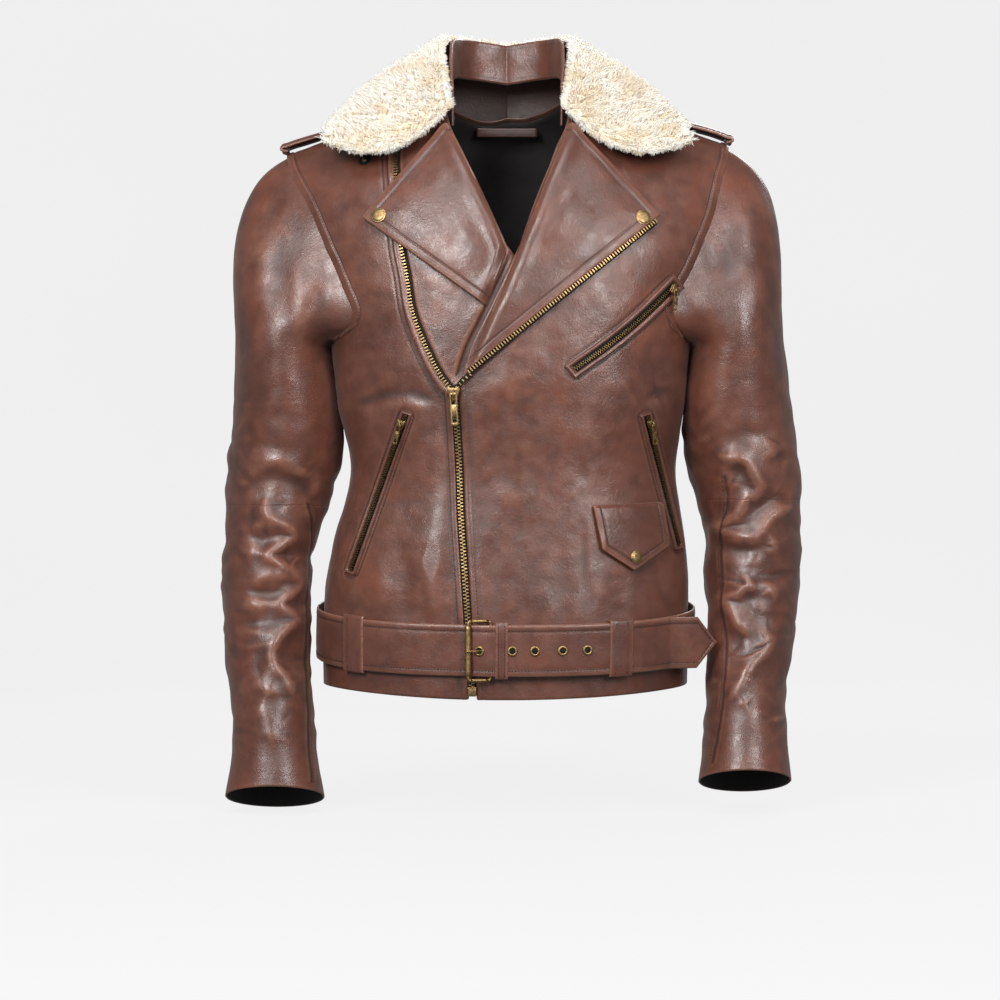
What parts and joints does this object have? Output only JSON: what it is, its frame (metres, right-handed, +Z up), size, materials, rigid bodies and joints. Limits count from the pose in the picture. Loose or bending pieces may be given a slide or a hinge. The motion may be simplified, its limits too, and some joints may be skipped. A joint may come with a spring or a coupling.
{
  "type": "leather riding jacket",
  "caption": "Brown leather riding jacket with an asymmetric front zip, snapped lapels, a shearling collar, slanted zip pockets, a flapped coin pocket and a buckled waist belt.",
  "frame": {"origin": "middle of the bottom of the jacket's box, level with the lowest cuff", "axes": "+X to the wearer's left, +Y to the wearer's back, +Z up"},
  "size_m": [0.579, 0.2634, 0.776],
  "materials": {
    "brass": "antique",
    "edge_leather": "brown, darker edge",
    "leather": "aged brown, satin",
    "lining": "dark brown satin",
    "pocketing": "cotton",
    "shearling": "cream pile"
  },
  "bodies": {
    "root": {"back_panel": "leather", "belt_keeper": "leather", "belt_loop_left": "leather", "belt_loop_right": "leather", "belt_strap": "leather", "belt_tail": "leather", "chest_bag": "pocketing", "chest_welt": "edge_leather", "chest_zip": "brass", "coin_pocket_bag": "pocketing", "coin_snap_stud": "brass", "collar_fur_back": "shearling", "collar_stand": "leather", "collar_stud": "brass", "epaulette_left": "leather", "epaulette_right": "leather", "eyelet_2": "brass", "eyelet_3": "brass", "eyelet_4": "brass", "eyelet_5": "brass", "front_left_panel": "leather", "front_right_panel": "leather", "hand_left_bag": "pocketing", "hand_left_welt": "edge_leather", "hand_left_zip": "brass", "hand_right_bag": "pocketing", "hand_right_welt": "edge_leather", "hand_right_zip": "brass", "hanger_loop": "edge_leather", "lining_back": "lining", "lining_front_left": "lining", "lining_front_right": "lining", "main_zip_box": "brass", "main_zip_left": "brass", "main_zip_right": "brass"},
    "main_slider": {"main_zip_slider": "brass"},
    "main_pull": {"main_zip_pull": "brass"},
    "chest_slider_body": {"chest_slider": "brass"},
    "chest_pull_body": {"chest_pull": "brass"},
    "hand_left_slider_body": {"hand_left_slider": "brass"},
    "hand_left_pull_body": {"hand_left_pull": "brass"},
    "hand_right_slider_body": {"hand_right_slider": "brass"},
    "hand_right_pull_body": {"hand_right_pull": "brass"},
    "coin_flap_body": {"coin_flap": "leather", "coin_snap_cap": "brass"},
    "lapel_left_body": {"lapel_left": "leather", "lapel_snap_left": "brass", "main_zip_left_upper": "brass"},
    "lapel_right_body": {"lapel_right": "leather", "lapel_snap_right": "brass"},
    "collar_left": {"collar_fur_left": "shearling"},
    "collar_right": {"collar_fur_right": "shearling"},
    "buckle": {"buckle_frame": "brass"},
    "roller": {"buckle_roller": "brass"},
    "tongue": {"buckle_tongue": "brass", "eyelet_1": "brass"},
    "sleeve_left": {"sleeve_upper_left": "leather"},
    "forearm_left": {"sleeve_lower_left": "leather"},
    "sleeve_right": {"sleeve_upper_right": "leather"},
    "forearm_right": {"sleeve_lower_right": "leather"}
  },
  "joints": [
    {"name": "main_zip_slide", "type": "slide", "parent": "root", "child": "main_slider", "axis": [0.0578, -0.0071, -0.9983], "range_m": [0, 0.165]},
    {"name": "main_pull_hinge", "type": "hinge", "parent": "main_slider", "child": "main_pull", "pos_m": [-0.05779, -0.1196, 0.4085], "axis": [-0.9878, 0.1477, -0.0494], "range_deg": [0, 150]},
    {"name": "chest_zip_travel", "type": "hinge", "parent": "root", "child": "chest_slider_body", "pos_m": [-0.10759, 0.17916, 0.59865], "axis": [0.3425, 0.6007, -0.7224], "range_deg": [0, 14.9]},
    {"name": "chest_pull_hinge", "type": "hinge", "parent": "chest_slider_body", "child": "chest_pull_body", "pos_m": [0.15931, -0.08014, 0.51082], "axis": [-0.7956, -0.6059, 0], "range_deg": [0, 150]},
    {"name": "hand_left_zip_travel", "type": "hinge", "parent": "root", "child": "hand_left_slider_body", "pos_m": [0.15472, -0.28831, 0.2614], "axis": [-0.965, 0.0524, -0.2568], "range_deg": [0, 21.2]},
    {"name": "hand_left_pull_hinge", "type": "hinge", "parent": "hand_left_slider_body", "child": "hand_left_pull_body", "pos_m": [0.13782, -0.08568, 0.37881], "axis": [-0.7886, -0.578, -0.2099], "range_deg": [0, 150]},
    {"name": "hand_right_zip_travel", "type": "hinge", "parent": "root", "child": "hand_right_slider_body", "pos_m": [-0.12892, -0.30351, 0.2839], "axis": [-0.9382, -0.0649, 0.3398], "range_deg": [0, 27.3]},
    {"name": "hand_right_pull_hinge", "type": "hinge", "parent": "hand_right_slider_body", "child": "hand_right_pull_body", "pos_m": [-0.11088, -0.10222, 0.37862], "axis": [-0.881, 0.3519, 0.3163], "range_deg": [0, 150]},
    {"name": "coin_flap_hinge", "type": "hinge", "parent": "root", "child": "coin_flap_body", "pos_m": [0.11161, -0.08972, 0.30177], "axis": [-0.8656, -0.4991, -0.0393], "range_deg": [0, 110]},
    {"name": "lapel_left_roll", "type": "hinge", "parent": "root", "child": "lapel_left_body", "pos_m": [0.00243, -0.10956, 0.54063], "axis": [-0.3897, -0.1037, -0.9151], "range_deg": [0, 18]},
    {"name": "lapel_right_roll", "type": "hinge", "parent": "root", "child": "lapel_right_body", "pos_m": [-0.00659, -0.10879, 0.54564], "axis": [-0.3775, 0.362, 0.8523], "range_deg": [0, 45]},
    {"name": "collar_left_lift", "type": "hinge", "parent": "root", "child": "collar_left", "pos_m": [0.0622, 0.02086, 0.76952], "axis": [-0.0796, -0.7064, -0.7033], "range_deg": [0, 35]},
    {"name": "collar_right_lift", "type": "hinge", "parent": "root", "child": "collar_right", "pos_m": [-0.07335, 0.02086, 0.76952], "axis": [-0.0796, 0.7064, 0.7033], "range_deg": [0, 35]},
    {"name": "buckle_frame_hinge", "type": "hinge", "parent": "root", "child": "buckle", "pos_m": [-0.02168, -0.11966, 0.1608], "axis": [0, 0, 1], "range_deg": [0, 25], "deforming": ["belt_tail"]},
    {"name": "buckle_roller_spin", "type": "hinge", "parent": "buckle", "child": "roller", "pos_m": [-0.04341, -0.12535, 0.16064], "axis": [0, 0, 1], "continuous": true},
    {"name": "buckle_tongue_hinge", "type": "hinge", "parent": "buckle", "child": "tongue", "pos_m": [-0.02168, -0.11966, 0.1608], "axis": [0, 0, 1], "range_deg": [0, 12]},
    {"name": "shoulder_left", "type": "hinge", "parent": "root", "child": "sleeve_left", "pos_m": [0.21543, 0.01704, 0.66203], "axis": [0, -1, 0], "range_deg": [0, 35]},
    {"name": "elbow_left", "type": "hinge", "parent": "sleeve_left", "child": "forearm_left", "pos_m": [0.24094, -0.05045, 0.27562], "axis": [-0.9703, -0.2419, 0], "range_deg": [0, 50]},
    {"name": "shoulder_right", "type": "hinge", "parent": "root", "child": "sleeve_right", "pos_m": [-0.22657, 0.01704, 0.66203], "axis": [0, 1, 0], "range_deg": [0, 35]},
    {"name": "elbow_right", "type": "hinge", "parent": "sleeve_right", "child": "forearm_right", "pos_m": [-0.24264, -0.05119, 0.26853], "axis": [-0.9703, 0.2419, 0], "range_deg": [0, 50]}
  ]
}
